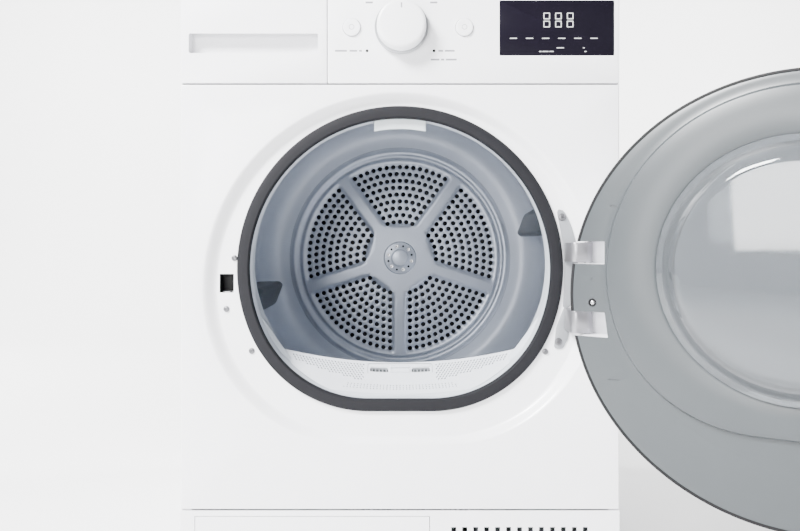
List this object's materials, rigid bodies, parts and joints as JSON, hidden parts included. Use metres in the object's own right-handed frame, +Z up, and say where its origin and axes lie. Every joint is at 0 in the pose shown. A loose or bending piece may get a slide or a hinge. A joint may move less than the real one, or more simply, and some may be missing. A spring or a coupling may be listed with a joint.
{
  "type": "clothes dryer",
  "caption": "Free-standing white heat-pump clothes dryer with its round door open, showing the perforated drum, seal, lint filter and hinge.",
  "frame": {"origin": "on the floor, under the centre of the cabinet's footprint", "axes": "+X to the viewer's right when facing the door, -Y out of the front, +Z up"},
  "size_m": [0.9916, 0.9549, 0.85],
  "materials": {
    "painted_white": "gloss white enamel",
    "worktop_white": "satin white laminate",
    "plastic_white": "gloss white",
    "galvanised_steel": "galvanised",
    "drum_steel": "satin blue-grey steel",
    "bright_steel": "zinc plated",
    "hinge_metal": "silver satin",
    "seal_rubber": "matt dark grey",
    "black_plastic": "matt black",
    "duct_grey": "moulded grey",
    "filter_white": "moulded white",
    "filter_gauze": "fine woven mesh",
    "lifter_charcoal": "charcoal",
    "lamp_lens": "frosted",
    "tank_clear": "translucent moulding",
    "door_glass": "smoked",
    "display_black": "gloss black",
    "latch_metal": "plated steel",
    "motor_metal": "laminated steel stack",
    "compressor_black": "satin black",
    "fin_aluminium": "thin fins",
    "copper": "copper tube",
    "board_case": "flame-retardant moulding"
  },
  "bodies": {
    "cabinet": {"side_panel_left": "painted_white", "side_panel_right": "painted_white", "front_panel": "painted_white", "kick_panel": "painted_white", "worktop": "worktop_white", "control_fascia": "plastic_white", "rear_panel": "galvanised_steel", "hinge_bracket": "galvanised_steel", "panel_screws": "bright_steel", "rear_bearing": "bright_steel", "hinge_arms": "hinge_metal", "door_seal": "seal_rubber", "levelling_feet": "seal_rubber", "drive_belt": "seal_rubber", "latch_housing": "black_plastic", "mains_inlet": "black_plastic", "base_tray": "duct_grey", "rear_duct": "duct_grey", "front_duct": "duct_grey", "tank_sleeve": "duct_grey", "blower_housing": "duct_grey", "drain_pump": "duct_grey", "drain_spigot": "duct_grey", "filter_duct": "filter_white", "lamp_lens": "lamp_lens", "display_window": "display_black", "motor_body": "motor_metal", "compressor": "compressor_black", "evaporator": "fin_aluminium", "condenser": "fin_aluminium", "refrigerant_pipes": "copper", "power_board": "board_case"},
    "door": {"hinge_pins": "bright_steel", "hinge_block": "galvanised_steel", "door_frame": "plastic_white", "door_trim": "black_plastic", "door_window": "door_glass", "door_liner": "duct_grey", "door_bowl": "door_glass", "door_hook": "latch_metal"},
    "drum": {"drum_shell": "drum_steel", "drum_back": "drum_steel", "drum_hub": "drum_steel", "hub_bolts": "bright_steel", "drum_lifters": "lifter_charcoal"},
    "roller_left": {"support_roller_left": "black_plastic"},
    "roller_right": {"support_roller_right": "black_plastic"},
    "motor_shaft": {"motor_rotor": "bright_steel", "blower_wheel": "duct_grey"},
    "tension_arm": {"idler_arm": "latch_metal"},
    "tension_pulley": {"idler_pulley": "black_plastic"},
    "knob": {"program_knob": "plastic_white"},
    "power_key": {"power_button": "plastic_white"},
    "start_key": {"start_button": "plastic_white"},
    "tank_drawer": {"tank_front": "plastic_white", "tank_box": "tank_clear"},
    "filter": {"lint_filter": "filter_white", "filter_mesh": "filter_gauze"},
    "latch": {"latch_catch": "latch_metal"},
    "flap": {"service_flap": "painted_white"}
  },
  "joints": [
    {"name": "door_hinge", "type": "hinge", "parent": "cabinet", "child": "door", "pos_m": [0.248, -0.33, 0.415], "axis": [0, 0, 1], "range_deg": [-148.5, 0]},
    {"name": "drum_spin", "type": "hinge", "parent": "cabinet", "child": "drum", "pos_m": [0, 0.2, 0.4485], "axis": [0, 1, 0], "continuous": true},
    {"name": "roller_left_spin", "type": "hinge", "parent": "cabinet", "child": "roller_left", "pos_m": [-0.16353, -0.128, 0.18679], "axis": [0, 1, 0], "continuous": true},
    {"name": "roller_right_spin", "type": "hinge", "parent": "cabinet", "child": "roller_right", "pos_m": [0.16353, -0.128, 0.18679], "axis": [0, 1, 0], "continuous": true},
    {"name": "motor_spin", "type": "hinge", "parent": "cabinet", "child": "motor_shaft", "pos_m": [-0.15, 0.15, 0.11], "axis": [0, 1, 0], "continuous": true},
    {"name": "tension_swing", "type": "hinge", "parent": "cabinet", "child": "tension_arm", "pos_m": [-0.075, 0.069, 0.08], "axis": [0, -1, 0], "range_deg": [0, 10], "stiffness_Nm_per_rad": 2},
    {"name": "tension_pulley_spin", "type": "hinge", "parent": "tension_arm", "child": "tension_pulley", "pos_m": [-0.10325, 0.06, 0.09642], "axis": [0, 1, 0], "continuous": true},
    {"name": "knob_turn", "type": "hinge", "parent": "cabinet", "child": "knob", "pos_m": [0.002, -0.3, 0.7746], "axis": [0, -1, 0], "continuous": true},
    {"name": "power_press", "type": "slide", "parent": "cabinet", "child": "power_key", "axis": [0, 1, 0], "range_m": [0, 0.002], "stiffness_N_per_m": 800},
    {"name": "start_press", "type": "slide", "parent": "cabinet", "child": "start_key", "axis": [0, 1, 0], "range_m": [0, 0.002], "stiffness_N_per_m": 800},
    {"name": "tank_slide", "type": "slide", "parent": "cabinet", "child": "tank_drawer", "axis": [0, -1, 0], "range_m": [0, 0.4]},
    {"name": "filter_lift", "type": "slide", "parent": "cabinet", "child": "filter", "axis": [0, 0, 1], "range_m": [0, 0.15]},
    {"name": "latch_swing", "type": "hinge", "parent": "cabinet", "child": "latch", "pos_m": [-0.23965, -0.2685, 0.4115], "axis": [-1, 0, 0], "range_deg": [0, 30], "stiffness_Nm_per_rad": 0.02},
    {"name": "flap_hinge", "type": "hinge", "parent": "cabinet", "child": "flap", "pos_m": [-0.12, -0.297, 0.027], "axis": [1, 0, 0], "range_deg": [0, 80]}
  ],
  "couplings": [
    {"joint": "roller_left_spin", "follows": "drum_spin", "ratio": -11.328},
    {"joint": "roller_right_spin", "follows": "drum_spin", "ratio": -11.328},
    {"joint": "motor_spin", "follows": "drum_spin", "ratio": 28.32},
    {"joint": "tension_pulley_spin", "follows": "drum_spin", "ratio": -20.229}
  ]
}
